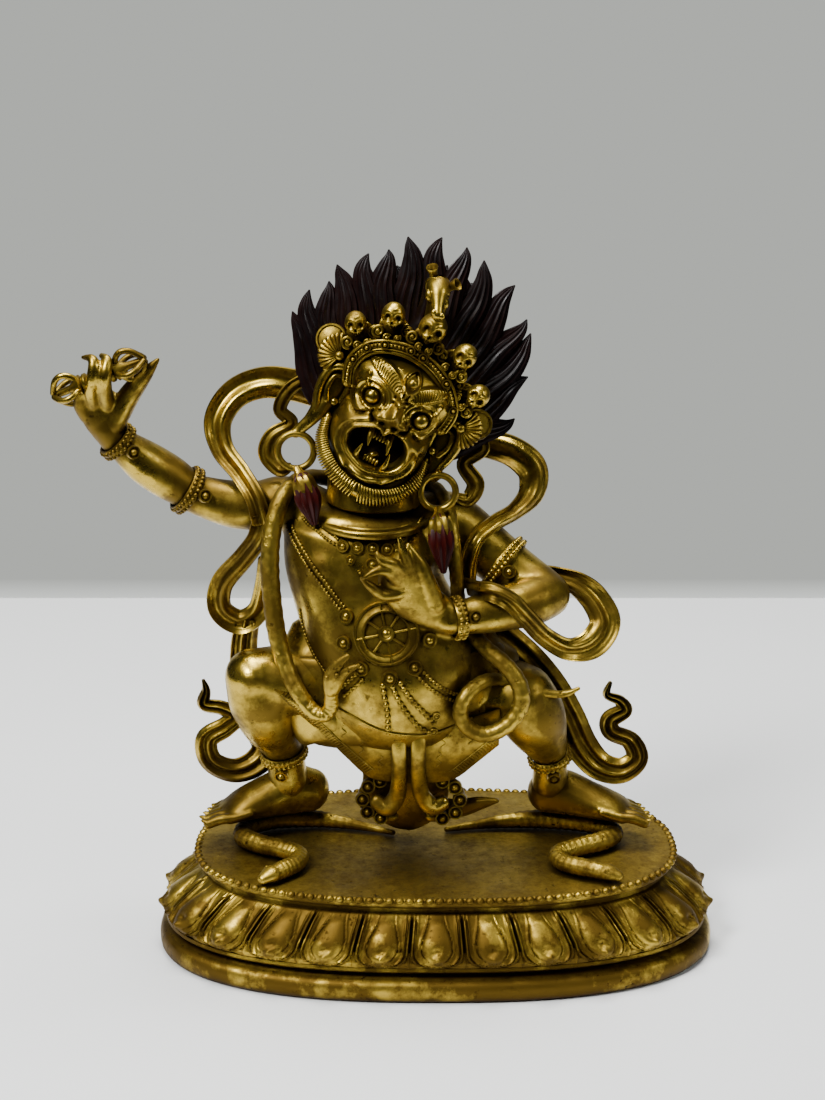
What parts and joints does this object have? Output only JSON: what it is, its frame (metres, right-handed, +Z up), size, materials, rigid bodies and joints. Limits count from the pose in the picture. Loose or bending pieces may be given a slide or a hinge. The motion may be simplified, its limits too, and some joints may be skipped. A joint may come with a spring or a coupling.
{
  "type": "buddhist deity statue",
  "caption": "Gilt bronze wrathful deity, one arm raised with a thunderbolt, striding on snakes over an oval lotus base; a shelf or altar figure.",
  "frame": {"origin": "centre of the lotus base's underside", "axes": "+Z up, the figure faces -Y and its raised right arm reaches towards -X"},
  "size_m": [0.1606, 0.0786, 0.1783],
  "materials": {
    "gilt_base": "aged fire gilding, worn brown on the top plate",
    "gilt_body": "bright fire gilding with dark brown patina in the recesses",
    "gilt_head": "bright fire gilding with dark brown patina in the recesses",
    "gilt_snakes": "worn gilding, pitted",
    "hair_paint": "near-black red pigment, semi-gloss",
    "tassel_paint": "dark red pigment on the ear tassels, semi-gloss"
  },
  "bodies": {
    "root": {"lotus_base": "gilt_base", "figure": "gilt_body", "head": "gilt_head", "right_foot_snake": "gilt_snakes", "left_foot_snake": "gilt_snakes"}
  },
  "joints": []
}
